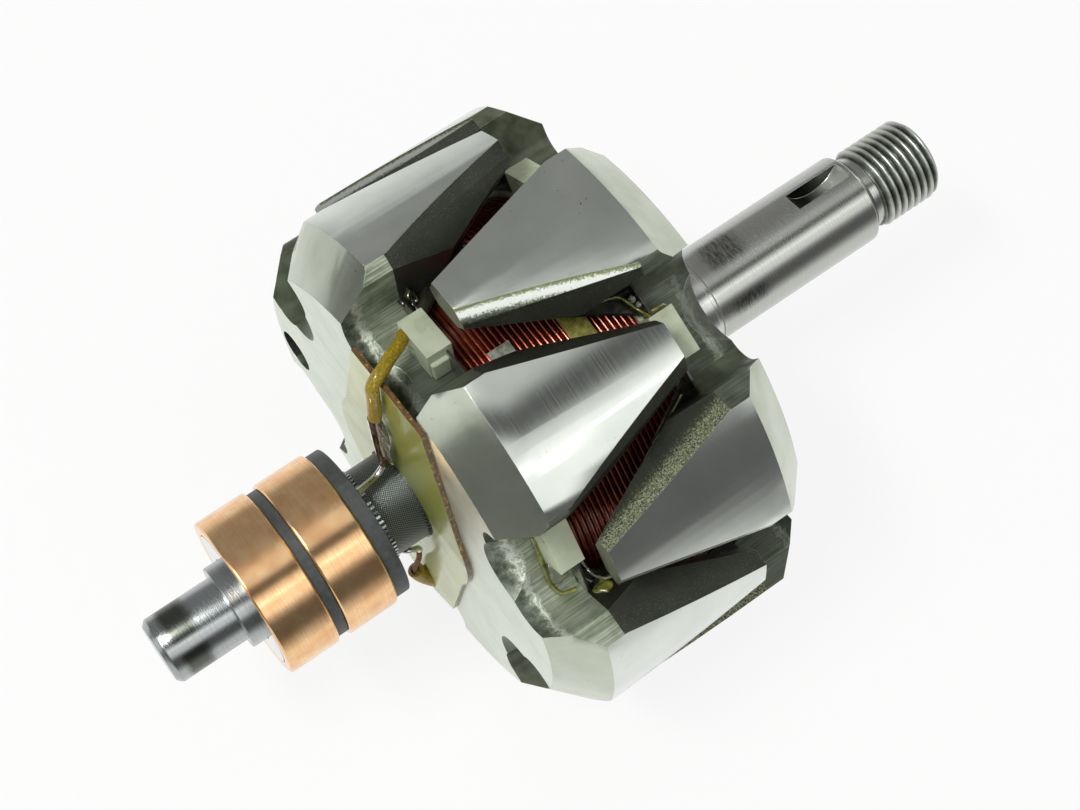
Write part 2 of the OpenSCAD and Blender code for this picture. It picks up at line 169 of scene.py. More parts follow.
def turned_steel(name, low, high):
    # Mild steel turned on a lathe: fine cutter lines round the axis, light drawn out along the axis
    node, place, done = surface(name, Metallic=1.0, Anisotropic=0.4, Anisotropic_Rotation=0.25)
    x = node("SeparateXYZ", place)
    # Cutter feed about 0.1 mm, drawn at 0.3 mm so that it shows
    lines = node("TexNoise", noise_dimensions="1D", W=x, mm=0.3, Detail=1.0)
    cloud = node("TexNoise", place, mm=9, Detail=3.0)
    speck = node("TexNoise", place, mm=0.6, Detail=2.0)
    tone = node("ValToRGB", cloud, stops=[(0.3, low), (0.7, high)])
    worn = node("ValToRGB", speck, stops=[(0.2, "#7d8176"), (0.27, "#ffffff")])
    colour = node("Mix", 0.8, tone, worn, blend_type="MULTIPLY")
    tangent = node("Tangent", direction_type="RADIAL", axis="X")
    return done(colour, (lines, 0.17, 0.21), (lines, 0.035, 0.05), Tangent=tangent)


def pressed_steel_face():
    # Steel face coined in the press: pale, satin, faint blotches and handling scratches
    node, place, done = surface("pressed_steel_face", Metallic=1.0)
    cloud = node("TexNoise", place, mm=7, Detail=4.0, Roughness=0.6)
    grain = node("TexNoise", place, mm=0.5, Detail=2.0)
    slant = node("Mapping", place, Rotation=(0.5, 0, 0), Scale=(1, 0.06, 1))
    scratch = node("TexNoise", slant, mm=0.9, Detail=1.0)
    tone = node("ValToRGB", cloud, stops=[(0.3, "#ccd3c6"), (0.6, "#dbe1d5")])
    mark = node("ValToRGB", scratch, stops=[(0.25, "#9aa094"), (0.33, "#ffffff")])
    colour = node("Mix", 0.2, tone, mark, blend_type="MULTIPLY")
    return done(colour, (cloud, 0.36, 0.5), (grain, 0.15, 0.08))


def forged_steel(name, flash_and_lit_band):
    # Forged steel under dark oxide and varnish: near black, granular, with pale flecks where grain stands up,
    # most of them in the torn band that the trimmed flash leaves along a claw's outer edge; that band's paleness
    # is also painted light on the flank's upper part, and deeper in the flank turns black as painted shade
    node, place, done = surface(name, Coat_Weight=0.15, Coat_Roughness=0.3)
    grain = node("TexNoise", place, mm=0.28, Detail=5.0, Roughness=0.8)
    cloud = node("TexNoise", place, mm=6, Detail=3.0)
    radius = node("VectorMath:LENGTH", node("VectorMath:MULTIPLY", place, (0, 1, 1)))
    # Painted light: the band along the outer edge is paler as well as flecked, where the flank's upper part
    # catches the lamps
    edge = node("MapRange", radius, (POLE_R - 4) * MM, (POLE_R - 2) * MM, 0.0, flash_and_lit_band)
    dry = node("ValToRGB", cloud, stops=[(0.3, "#171a12"), (0.7, "#2c3022")])
    # Painted shade: the flank turns black deeper inside the rotor, from 43 mm down to 37 mm
    deep_painted_shade = node("MapRange", radius, 37 * MM, 43 * MM, 0.0, 1.0)
    tone = node("Mix", deep_painted_shade, "#060705", dry)
    flecks_and_painted_light = node("Math:MULTIPLY_ADD", edge, 0.125, grain)
    fleck = node("ValToRGB", flecks_and_painted_light, stops=[(0.57, NONE), (0.74, FULL)])
    pale = node("Mix", edge, "#5d654c", "#bfc79f")
    colour = node("Mix", fleck, tone, pale)
    metal = node("MapRange", fleck, 0.0, 1.0, 0.35, 0.8)
    return done(colour, (grain, 0.62, 0.38), (grain, 0.6, 0.3), Metallic=metal)


def broached_steel():
    # Steel valley cut by a broach: striations along the shaft, grey-green from the varnish wiped over it,
    # darkened towards the pole's end face as painted shade, behind a raised burr painted bright as a painted
    # highlight
    node, place, done = surface("broached_steel", Metallic=0.35)
    drawn = node("Mapping", place, Scale=(0.03, 1, 1))
    # Tool marks about 0.15 mm apart, drawn at 0.24 mm
    streak = node("TexNoise", drawn, mm=0.24, Detail=1.5, Roughness=0.6)
    cloud = node("TexNoise", place, mm=4, Detail=3.0)
    lump = node("TexNoise", place, mm=1.6, Detail=5.0, Roughness=0.65)
    tone = node("ValToRGB", streak, stops=[(0.3, "#7a8271"), (0.5, "#9da591"), (0.7, "#bfc6b4")])
    shade = node("ValToRGB", cloud, stops=[(0.3, "#b4bbaa"), (0.6, "#ffffff")])
    clean = node("Mix", 1.0, tone, shade, blend_type="MULTIPLY")
    # Depth behind the nearer end face, shifted by up to 2 mm either way so that the burr wanders
    x, _, z = node("SeparateXYZ", place, out=None)
    off = node("Math:SUBTRACT", x, (FACE_X + DRIVE_FACE_X) / 2 * MM)
    away = node("Math:ABSOLUTE", off)
    depth = node("Math:SUBTRACT", (DRIVE_FACE_X - FACE_X) / 2 * MM, away)
    drift = node("Math:MULTIPLY_ADD", lump, 4 * MM, depth)
    run = node("MapRange", drift, 2 * MM, 12 * MM, 0.0, 1.0)
    # Painted shade near the end face, and a painted highlight along the raised burr
    lip_painted_shade = node("ValToRGB", run, stops=[(0.1, FULL), (0.32, NONE)])
    burr_painted_highlight = node("ValToRGB", run, stops=[(0.22, NONE), (0.3, FULL), (0.4, NONE)])
    lip_shade_tone = node("ValToRGB", lump, stops=[(0.35, "#3c4238"), (0.65, "#6c7464")])
    worn = node("Mix", lip_painted_shade, clean, lip_shade_tone)
    bright = node("Mix", burr_painted_highlight, worn, "#d9dfd1")
    # Painted shadow of the claw beside it, over one side of the first valley in its slip-ring-end half; the
    # drive-end half of every valley is darker too
    side = node("VectorMath:DOT_PRODUCT", place, beside(VALLEY_TURN, [(0, 1, 0)])[0])
    half = node("MapRange", side, -2 * MM, 0.5 * MM, 0.0, 0.8)
    top = node("MapRange", z, 26 * MM, 28 * MM, 0.0, 1.0)
    front = node("MapRange", off, -1 * MM, 1 * MM, 1.0, 0.0)
    claw_painted_shadow = node("Math:MULTIPLY", half, node("Math:MULTIPLY", top, front))
    rear = node("MapRange", off, -1 * MM, 1 * MM, 0.0, 0.7)
    darkened_share = node("Math:ADD", claw_painted_shadow, rear)
    colour = node("Mix", darkened_share, bright, "#333a2c")
    metal = node("MapRange", burr_painted_highlight, 0.0, 1.0, 0.35, 0.8)
    bump = node("Bump", Strength=0.35, Distance=0.1 * MM, Height=streak)
    raised = node("Bump", Strength=0.5, Distance=0.6 * MM, Height=burr_painted_highlight, Normal=bump)
    return done(colour, (streak, 0.5, 0.36), Metallic=metal, Normal=raised)


def bevel_steel_painted_sheen():
    # Claw edge bevel: a bright silver band painted as the reflection its rounded side catches, olive grit along
    # its upper line, and dark grit below as painted shade
    node, place, done = surface("bevel_steel_painted_sheen", Metallic=1.0)
    radial = node("VectorMath:MULTIPLY", place, (0, 1, 1))
    radius = node("VectorMath:LENGTH", radial)
    grit = node("TexNoise", place, mm=0.35, Detail=3.0, Roughness=0.7)
    shift = node("Math:MULTIPLY_ADD", grit, 1.2 * MM, -0.6 * MM)
    level = node("Math:ADD", radius, shift)
    run = node("MapRange", level, (POLE_R - 2.4) * MM, (POLE_R + 0.2) * MM, 0.0, 1.0)
    colour = node("ValToRGB", run, stops=[
        (0.2, "#20241a"), (0.42, "#6d7464"), (0.53, "#e6eae2"),
        (0.73, "#eef1ea"), (0.82, "#8b946f"), (1.0, "#515a3d")])
    return done(colour, (grit, 0.36, 0.3), (grit, 0.05, 0.1))


def ground_steel():
    # Hardened steel ground between centres: satin grey with hair lines round the axis, a dark band near
    # the journal's end, and fretting marks in dashes where the drive-end bearing sat
    node, place, done = surface("ground_steel", Metallic=1.0, Anisotropic=0.45, Anisotropic_Rotation=0.25)
    x, y, z = node("SeparateXYZ", place, out=None)
    # Grinding lines about 0.05 mm, drawn at 0.25 mm
    lines = node("TexNoise", noise_dimensions="1D", W=x, mm=0.25, Detail=2.0)
    blot = node("TexNoise", place, mm=2.5, Detail=4.0, Roughness=0.7)
    zone = node("Math:MULTIPLY_ADD", blot, 1.6 * MM, -0.8 * MM)
    where = node("Math:ADD", x, zone)
    run = node("MapRange", where, -0.11, 0.05, 0.0, 1.0)
    tone = node("ValToRGB", run, stops=[
        (0.0, "#a7acab"), (0.1, "#aeb3b3"), (0.67, "#bcbeb8"),
        (0.682, "#d8d9d4"), (0.692, "#bcbeb8"), (1.0, "#babcb6")])
    turn = node("Math:ARCTAN2", node("Math:MULTIPLY", y, -1.0), z)
    around = node("MapRange", turn, -math.pi, math.pi, 0.0, 1.0)
    # The band runs from 3 to 7 mm along the journal, all round but for the strip where the highlight falls, left
    # out there as a painted highlight
    band = node("ValToRGB", run, stops=[(0.017, NONE), (0.022, FULL), (0.045, FULL), (0.052, NONE)])
    band_outside_highlight = node("ValToRGB", around, stops=[(0.548, FULL), (0.57, NONE), (0.61, NONE), (0.628, FULL)])
    dark = node("Math:MULTIPLY", band, band_outside_highlight)
    banded = node("Mix", dark, tone, "#5c5f57")
    # Fretted from 3 to 10 mm along the seat, on two sides of it
    seat = node("ValToRGB", run, stops=[(0.7, NONE), (0.71, FULL), (0.742, FULL), (0.755, NONE)])
    patch = node("ValToRGB", around, stops=[
        (0.05, FULL), (0.12, NONE), (0.38, NONE), (0.42, FULL), (0.5, FULL), (0.53, NONE),
        (0.62, NONE), (0.64, FULL), (0.67, FULL), (0.7, NONE)])
    drawn = node("Mapping", place, Scale=(1, 0.2, 0.2))
    dash = node("TexNoise", drawn, mm=0.3, Detail=3.0, Roughness=0.7)
    dashes = node("MapRange", dash, 0.35, 0.62, 0.25, 1.0)
    fret = node("Math:MULTIPLY", node("Math:MULTIPLY", seat, patch), dashes)
    stained = node("Mix", fret, banded, "#5f615a")
    score = node("ValToRGB", lines, stops=[(0.3, "#e2e3df"), (0.5, "#ffffff")])
    colour = node("Mix", 0.35, stained, score, blend_type="MULTIPLY")
    tangent = node("Tangent", direction_type="RADIAL", axis="X")
    return done(colour, (lines, 0.28, 0.22), (lines, 0.02, 0.05), Tangent=tangent)


def knurled_steel():
    # Neck rolled with a fine knurl and phosphated: near black, a grid of small glints
    node, place, done = surface("knurled_steel", Metallic=0.9, Roughness=0.3)
    x, y, z = node("SeparateXYZ", place, out=None)
    turn = node("Math:ARCTAN2", y, z)
    # Knurl of 0.3 mm, drawn at 0.45 mm
    pitch = 0.45
    ribs = node("Math:SINE", node("Math:MULTIPLY", turn, NECK_R / pitch * 2 * math.pi))
    rows = node("Math:SINE", node("Math:MULTIPLY", x, 2 * math.pi / (pitch * MM)))
    mesh = node("Math:MULTIPLY", ribs, rows)
    colour = node("ValToRGB", node("MapRange", mesh, -1.0, 1.0, 0.0, 1.0),
                  stops=[(0.35, "#2a2e2c"), (0.8, "#7a7f7b")])
    return done(colour, relief=(mesh, 0.35, 0.12))


def slot_steel_painted_shade(name, clean):
    # Milled key slot: walls and bottom painted dark as painted shade in the slot, the floor painted grey where
    # it rises towards the thread
    node, place, done = surface(name, Metallic=0.8)
    shade_mottle = node("TexNoise", place, mm=0.8, Detail=4.0)
    black = node("ValToRGB", shade_mottle, stops=[(0.3, "#161815"), (0.7, "#2c2f29")])
    rise = node("MapRange", node("SeparateXYZ", place), 26 * MM, 31 * MM, 0.0, clean)
    colour = node("Mix", rise, black, "#b4b9b0")
    return done(colour, (shade_mottle, 0.35, 0.6), (shade_mottle, 0.2, 0.1))


def rolled_thread_steel():
    # Rolled thread: painted shade darkens the roots, and the crests are painted lighter grey as painted
    # highlight
    node, place, done = surface("rolled_thread_steel", Metallic=1.0)
    radius = node("VectorMath:LENGTH", node("VectorMath:MULTIPLY", place, (0, 1, 1)))
    shade_jitter = node("TexNoise", place, mm=0.9, Detail=4.0)
    height = node("Math:MULTIPLY_ADD", shade_jitter, 0.4 * MM, radius)
    run = node("MapRange", height, (THREAD_ROOT_R + 0.1) * MM, (THREAD_ROOT_R + 1.1) * MM, 0.0, 1.0)
    colour = node("ValToRGB", run, stops=[(0.1, "#484b45"), (0.55, "#979b93"), (0.9, "#c9cdc5")])
    return done(colour, (shade_jitter, 0.3, 0.42), (shade_jitter, 0.1, 0.1))


def turned_copper():
    # Hard copper ring turned and then run in by the brushes: fine lines round the axis, warm brown tarnish
    node, place, done = surface("turned_copper", Metallic=1.0, Anisotropic=0.5, Anisotropic_Rotation=0.25)
    x = node("SeparateXYZ", place)
    lines = node("TexNoise", noise_dimensions="1D", W=x, mm=0.3, Detail=3.0)
    cloud = node("TexNoise", place, mm=3, Detail=3.0)
    tone = node("ValToRGB", cloud, stops=[(0.3, "#ecb986"), (0.7, "#fbd4a2")])
    score = node("ValToRGB", lines, stops=[(0.3, "#f4efe9"), (0.55, "#ffffff")])
    colour = node("Mix", 0.8, tone, score, blend_type="MULTIPLY")
    tangent = node("Tangent", direction_type="RADIAL", axis="X")
    return done(colour, (lines, 0.22, 0.2), (lines, 0.015, 0.05), Tangent=tangent)


def woven_tape(name, low, high, thread_mm):
    # Woven tape soaked in varnish: threads cross at right angles, the hollows hold dark varnish
    node, place, done = surface(name, IOR=1.5, Coat_Weight=0.3, Coat_Roughness=0.3)
    warp = node("TexWave", place, bands_direction="X", Scale=0.314 / (thread_mm * MM), Distortion=1.5)
    weft = node("TexWave", place, bands_direction="Y", Scale=0.314 / (thread_mm * MM), Distortion=1.5)
    weave = node("Math:MULTIPLY", warp, weft)
    cloud = node("TexNoise", place, mm=0.9, Detail=4.0)
    height = node("Math:MULTIPLY_ADD", weave, 0.15, cloud)
    colour = node("ValToRGB", height, stops=[(0.4, low), (0.65, high)])
    return done(colour, (cloud, 0.4, 0.7), (height, 0.5, 0.15))


def varnished_fibre():
    # Pressed fibre board under varnish: pale yellow-green face, amber varnish along the cut edge
    node, place, done = surface("varnished_fibre", IOR=1.5, Coat_Weight=0.7, Coat_Roughness=0.12)
    normal = node("NewGeometry", out=3)
    edge = node("Math:ABSOLUTE", node("SeparateXYZ", normal))
    side = node("MapRange", edge, 0.6, 0.9, 1.0, 0.0)
    pool = node("TexNoise", place, mm=6, Detail=3.0)
    fibre = node("TexNoise", place, mm=0.7, Detail=4.0)
    dry = node("ValToRGB", pool, stops=[(0.36, "#afb975"), (0.62, "#c5cd92")])
    # The upper half, on one side of the lead, is soaked through
    _, y, z = node("SeparateXYZ", place, out=None)
    drift = node("Math:MULTIPLY_ADD", pool, 5 * MM, -2.5 * MM)
    high = node("MapRange", node("Math:ADD", z, drift), 2.5 * MM, 4.5 * MM, 0.0, 1.0)
    near = node("MapRange", node("Math:ADD", y, drift), 1 * MM, 4 * MM, 1.0, 0.0)
    darkened_share = node("Math:MULTIPLY", high, near)
    face = node("Mix", darkened_share, dry, "#8b9030")
    amber = node("ValToRGB", fibre, stops=[(0.3, "#35230a"), (0.6, "#6b4812"), (0.72, "#c9a62c")])
    colour = node("Mix", side, face, amber)
    return done(colour, relief=(fibre, 0.15, 0.15))


def mottled(name, size_mm, detail, stops, relief=None, gloss=None, fade=0.5, **sockets):
    """A material with one noise of a real size for its colour, its relief (strength and mm) and its gloss."""
    node, place, done = surface(name, **sockets)
    blot = node("TexNoise", place, mm=size_mm, Detail=detail, Roughness=fade)
    colour = node("ValToRGB", blot, stops=stops)
    return done(colour, gloss and (blot, *gloss), relief and (blot, *relief))


def cured_varnish(name, low, high, clear):
    # Impregnating varnish that ran and cured: amber to olive glass, wet highlights
    return mottled(name, 1.4, 3.0, [(0.35, low), (0.65, high)], (0.15, 0.3), IOR=1.52, Roughness=0.06,
                   Transmission_Weight=clear, Coat_Weight=1.0, Coat_Roughness=0.03)


TURNED = turned_steel("turned_steel", "#d0d6ce", "#dde2da")
CONE = turned_steel("turned_bevel_steel", "#b4bba9", "#c6ccbd")
FACE = pressed_steel_face()
FORGED = forged_steel("forged_steel", 0.15)
FLASHED_AND_LIT = forged_steel("forged_steel_flashed_and_lit", 1.0)
BROACHED = broached_steel()
# Valley corner left as forged, wiped with varnish: smooth, dark olive, a soft sheen; the dark tone is partly
# painted shade in the corners
CORNER_SHADE = mottled("forged_corner_painted_shade", 2.5, 3.0, [(0.3, "#464c3a"), (0.7, "#636a55")], (0.1, 0.2), (0.38, 0.5),
                 Metallic=0.45, Coat_Weight=0.4, Coat_Roughness=0.2)
BEVEL = bevel_steel_painted_sheen()
# Steel edge rubbed bright: a thin pale line with small nicks
EDGE = mottled("rubbed_steel_edge", 0.6, 3.0, [(0.35, "#6f7665"), (0.5, "#b9c0af"), (0.7, "#e4e8de")],
               (0.4, 0.1), Metallic=1.0, Roughness=0.3)
GROUND = ground_steel()
KNURL = knurled_steel()
SLOT_WALL = slot_steel_painted_shade("slot_wall_painted_shade", 0.1)
SLOT = slot_steel_painted_shade("milled_slot_floor", 1.0)
THREAD = rolled_thread_steel()
COPPER = turned_copper()
# Black phenolic moulding, dusty from the brushes: dull charcoal with a fine grain
PHENOLIC = mottled("moulded_phenolic", 1.2, 5.0, [(0.3, "#262929"), (0.6, "#3d4241"), (0.75, "#585e5c")],
                   (0.2, 0.1), (0.42, 0.62), 0.7, IOR=1.6)
# The hub's end face under a coat of varnish: black glass that mirrors the pale room at a low angle
HUB_FACE = mottled("varnished_moulding", 3, 3.0, [(0.3, "#2c302c"), (0.7, "#4a5048")], (0.06, 0.2), (0.1, 0.2),
                   IOR=1.6, Coat_Weight=1.0, Coat_IOR=1.7, Coat_Roughness=0.06)
# Natural nylon, injection moulded: milky, slightly green, light passes into its edges, glossy corners
NYLON = mottled("moulded_nylon", 5, 3.0, [(0.3, "#a9b494"), (0.65, "#c6cdb4")], (0.08, 0.2), (0.22, 0.38),
                IOR=1.53, Subsurface_Weight=0.35, Subsurface_Scale=0.0015, Subsurface_Radius=(1.0, 1.0, 0.7))
# Copper wire in brown-red enamel: dark between the turns, copper glow through the enamel on each crest
WIRE = mottled("enamelled_wire", 2.5, 3.0, [(0.3, "#6e2a15"), (0.7, "#a84e31")], Metallic=0.8, Roughness=0.22,
               Coat_Weight=1.0, Coat_Roughness=0.04)
GLASS_TAPE = woven_tape("woven_glass_tape", "#84842f", "#b9b158", 0.5)
COTTON_TAPE = woven_tape("woven_cotton_tape", "#6f7366", "#a6aa99", 0.4)
# Insulating paper dipped in varnish: dark olive film, glossy, paler where the varnish is thick
PAPER = mottled("varnished_paper", 2.2, 4.0, [(0.35, "#0e0e08"), (0.6, "#222212"), (0.75, "#4a4922")],
                (0.5, 0.4), (0.2, 0.45), IOR=1.5, Coat_Weight=0.8, Coat_Roughness=0.08)
FIBRE = varnished_fibre()
# Glass yarn sleeve in amber varnish: ochre, glossy, darker in the hollows of the braid
YARN = mottled("varnished_glass_yarn", 0.3, 2.0, [(0.3, "#7a6603"), (0.55, "#977f06"), (0.72, "#bfa51c")],
               (0.06, 0.1), Roughness=0.36, Specular_IOR_Level=0.15, Coat_Weight=0.7, Coat_Roughness=0.05)
RESIN = cured_varnish("dipped_resin", "#2f1d09", "#6b4716", 0.1)
VARNISH = cured_varnish("cured_varnish", "#5d6122", "#a8a94c", 0.35)
FILM = cured_varnish("clear_varnish_film", "#cfd3b8", "#eaecdc", 0.85)
DARK_VARNISH_AND_SHADE = cured_varnish("thick_varnish_and_shade", "#12130a", "#33351a", 0.0)
# Bare copper lead gone brown: dull, patchy, hardly a sheen
COPPER_LEAD = mottled("oxidised_copper", 0.8, 3.0, [(0.3, "#4a2a15"), (0.7, "#85552f")], (0.2, 0.1),
                      Roughness=0.6, Specular_IOR_Level=0.1)
# Tinned copper wire, dipped: silvery with soft lumps in the tin
TIN = mottled("tinned_copper", 1.1, 2.0, [(0.3, "#b7b8b4"), (0.7, "#e3e4e1")], (0.25, 0.15),
              Metallic=1.0, Roughness=0.2)


# Rigid pieces: merged copies of the CAD solids with their edges eased

# Vertices nearer than this are one, faces flatter than this are one face; sharp and eased edges by their angle
MERGE_MM = 0.002
FLAT_ANGLE = math.radians(0.6)
SHARP_ANGLE = math.radians(28)
EASED_ANGLE = math.radians(32)


def eased(name, node, slot, width_mm, finishes, sort=None, reshape=None, cut_x=None):
    """A merged copy of a CAD node with small rounded edges, which take the last finish.

    Sort gives each face its finish, reshape moves points, and faces across the station cut_x are split there."""
    bm = bmesh.new()
    bm.from_mesh(nodes[node].data)
    bmesh.ops.remove_doubles(bm, verts=bm.verts, dist=MERGE_MM * MM)
    for vert in bm.verts if reshape else ():
        vert.co = reshape(vert.co / MM) * MM
    bmesh.ops.dissolve_degenerate(bm, edges=bm.edges, dist=MERGE_MM * MM)
    bmesh.ops.dissolve_limit(bm, angle_limit=FLAT_ANGLE, verts=bm.verts, edges=bm.edges)
    if cut_x is not None:
        bmesh.ops.bisect_plane(bm, geom=bm.verts[:] + bm.edges[:] + bm.faces[:], dist=0.001 * MM,
                               plane_co=(cut_x * MM, 0, 0), plane_no=(1, 0, 0))
    for face in bm.faces:
        face.smooth = True
        face.material_index = sort(face.calc_center_median() / MM, face.normal) if sort else 0
    mesh = bpy.data.meshes.new(name)
    bm.to_mesh(mesh)
    bm.free()
    mesh.set_sharp_from_angle(angle=SHARP_ANGLE)
    for finish in finishes:
        mesh.materials.append(finish)
    blank = bpy.data.objects.new(name + "_blank", mesh)
    scene.collection.objects.link(blank)
    bevel = blank.modifiers.new("ease", "BEVEL")
    bevel.width = width_mm * MM
    bevel.segments = 2
    bevel.limit_method = "ANGLE"
    bevel.angle_limit = EASED_ANGLE
    bevel.harden_normals = True
    bevel.material = len(finishes) - 1
    result = bpy.data.meshes.new_from_object(blank.evaluated_get(bpy.context.evaluated_depsgraph_get()))
    result.name = name
    bpy.data.objects.remove(blank)
    return piece(name, result, slot, node)


# Kinds of face on a claw pole, in the order of its finishes
OUTSIDE, RIM, END, FLANK, CUT, UNCUT, BEVELLED, NEAR_FLANK = range(8)


def pole_region(first_claw, broached, smooth, both):
    """A sorter for a claw pole's faces.

    Valleys are listed by angle: those not broached were left as forged, and those that are smooth have one
    corner or both as forged; these get a dark finish that is partly painted shade."""
    def region(centre, normal):
        radius = math.hypot(centre.y, centre.z)
        turn = math.degrees(math.atan2(-centre.y, centre.z)) - first_claw
        # The nearest claw and the nearest valley, and how far the face looks out along the middle of each
        middles = [first_claw + first + CLAW_PITCH * round((turn - first) / CLAW_PITCH)
                   for first in (0, CLAW_PITCH / 2)]
        on_claw, on_valley = (normal.z * math.cos(m) - normal.y * math.sin(m)
                              for m in map(math.radians, middles))
        outward = (normal.y * centre.y + normal.z * centre.z) / max(radius, 1e-6)
        across = abs(normal.y * centre.z - normal.z * centre.y) / max(radius, 1e-6)
        in_web = centre.x < FACE_X + WEB_T + 0.1 or centre.x > DRIVE_FACE_X - WEB_T - 0.1
        towards_smaller = normal.y * centre.z > normal.z * centre.y
        valley = middles[1] % 360
        if abs(normal.x) > 0.95:
            if centre.x < FACE_X + 0.3 or centre.x > DRIVE_FACE_X - 0.3:
                return END
            return UNCUT if radius > CONE_R else FLANK
        if outward > 0.3 and across < 0.3 and radius > CONE_R:
            return RIM if abs(normal.x) > 0.3 else OUTSIDE
        if in_web and radius < CONE_R and abs(normal.x) < 0.2 and 0.2 < on_valley < 0.93:
            return CUT if valley in broached and not (valley in smooth and (both or towards_smaller)) else UNCUT
        if in_web and outward > -0.4:
            return CUT if valley in broached else UNCUT
        if on_claw > 0.5 and radius > POLE_R - 4:
            return BEVELLED
        return NEAR_FLANK if towards_smaller else FLANK
    return region


def under_thread(point):
    """Draws the plain cylinder that stands for the thread in below the thread's root."""
    if THREAD_X[0] + 0.1 < point.x < THREAD_X[1] - 0.1:
        scale = THREAD_CORE_R / math.hypot(point.y, point.z)
        return Vector((point.x, point.y * scale, point.z * scale))
    return point


# Kinds of face on the shaft, in the order of its finishes
PLAIN, SLOT_FLOOR, NECK, SLOT_SIDE = range(4)


def shaft_region(centre, normal):
    """The key slot has dark walls and a grey floor, the neck is knurled, the rest of the shaft is ground."""
    radius = math.hypot(centre.y, centre.z)
    in_slot = KEY_X[0] < centre.x < KEY_X[1] and radius < SEAT_R - 0.1
    if in_slot and abs(normal.x) < 0.1 and abs(normal.y * centre.y + normal.z * centre.z) < 0.4 * radius:
        return SLOT_SIDE
    on_neck = HUB_REAR_X - 0.1 < centre.x < FACE_X + 0.1 and abs(normal.x) < 0.5
    return SLOT_FLOOR if in_slot else NECK if on_neck else PLAIN


def hub_region(centre, normal):
    """The hub's end face is varnished."""
    return 1 if normal.x < -0.9 and centre.x < HUB_REAR_X - 20 else 0


FRONT_FINISHES = [TURNED, CONE, FACE, FORGED, BROACHED, CORNER_SHADE, FORGED, FORGED, EDGE]
DRIVE_FINISHES = [TURNED, CONE, FACE, FORGED, BROACHED, CORNER_SHADE, BEVEL, FLASHED_AND_LIT, EDGE]
eased("slip_ring_end_claws", "slip_ring_end_pole", "pole_steel", 0.2, FRONT_FINISHES,
      pole_region(CLAW_TURN, [54, 174, 234, 354], [354, 174], False), cut_x=FACE_X + WEB_T + 0.1)
eased("drive_end_claws", "drive_end_pole", "pole_steel", 0.2, DRIVE_FINISHES,
      pole_region(CLAW_TURN + CLAW_PITCH / 2, [24, 84, 144, 204], [24, 144, 204], True),
      cut_x=DRIVE_FACE_X - WEB_T - 0.1)
eased("rotor_shaft", "shaft", "shaft_steel", 0.25, [GROUND, SLOT, KNURL, SLOT_WALL, GROUND], shaft_region,
      under_thread)
eased("outer_ring", "outer_slip_ring", "ring_copper", 0.12, [COPPER])
eased("inner_ring", "inner_slip_ring", "ring_copper", 0.12, [COPPER])
eased("ring_hub", "slip_ring_hub", "hub_moulding", 0.15, [PHENOLIC, HUB_FACE, PHENOLIC], hub_region)
eased("coil_bobbin", "bobbin", "nylon", 0.3, [NYLON])
eased("fibre_strip", "lead_strip", "fibre_strip", 0.15, [FIBRE])

# Moulding ledge along one side of each front tab of the bobbin

LEDGE_X = (-53.2, -49.6)
LEDGE_SIDES = (TAB_W / 2 - 0.3, TAB_W / 2 + 0.8)
LEDGE_HEIGHTS = (33.3, 36.9)
corners = [(x, side, height) for x in LEDGE_X for side in LEDGE_SIDES for height in LEDGE_HEIGHTS]
ledges = bmesh.new()
for count in range(6):
    turn = VALLEY_TURN + TAB_TURN + CLAW_PITCH * count
    verts = [ledges.verts.new(Vector(p) * MM) for p in beside(turn, corners)]
    for loop in ((0, 1, 3, 2), (4, 6, 7, 5), (0, 4, 5, 1), (2, 3, 7, 6), (0, 2, 6, 4), (1, 5, 7, 3)):
        ledges.faces.new([verts[i] for i in loop])
bmesh.ops.recalc_face_normals(ledges, faces=ledges.faces)
bmesh.ops.bevel(ledges, geom=ledges.edges, offset=0.12 * MM, segments=2, affect="EDGES")
for face in ledges.faces:
    face.smooth = True
ledge_mesh = bpy.data.meshes.new("tab_ledges")
ledges.to_mesh(ledge_mesh)
ledges.free()
ledge_mesh.set_sharp_from_angle(angle=math.radians(40))
ledge_mesh.materials.append(NYLON)
piece("tab_ledges", ledge_mesh, "nylon")

# Repeated and swept pieces, grown by Geometry Nodes

# Nodes that geometry trees share with shaders
SHADER_KINDS = ("Math", "VectorMath", "MapRange", "TexNoise", "CombineXYZ", "SeparateXYZ")


def new_tree(name, *lengths, **others):
    """A Geometry Nodes tree with a named input for each length, for others by their kind, and for the material.

    Gives back a maker of its nodes, its inputs by name, and a function that ends it: instances made real,
    shading, one material."""
    tree = bpy.data.node_groups.new(name, "GeometryNodeTree")
    tree.interface.new_socket("Geometry", in_out="OUTPUT", socket_type="NodeSocketGeometry")
    kinds = {"Geometry": "Geometry", **dict.fromkeys(lengths, "Float"), **others, "Material": "Material"}
    for label, kind in kinds.items():
        tree.interface.new_socket(label, in_out="INPUT", socket_type="NodeSocket" + kind)
    given = {s.name: s for s in tree.nodes.new("NodeGroupInput").outputs}

    def node(kind, *values, **settings):
        if "Node" not in kind:
            kind = ("ShaderNode" if kind.split(":")[0] in SHADER_KINDS else "GeometryNode") + kind
        return add(tree, kind, *values, **settings)

    def done(geometry, smooth=True):
        whole = node("RealizeInstances", geometry)
        shaded = node("SetShadeSmooth", whole) if smooth else whole
        node("NodeGroupOutput", node("SetMaterial", shaded, Material=given["Material"]))
        return tree

    return node, given, done


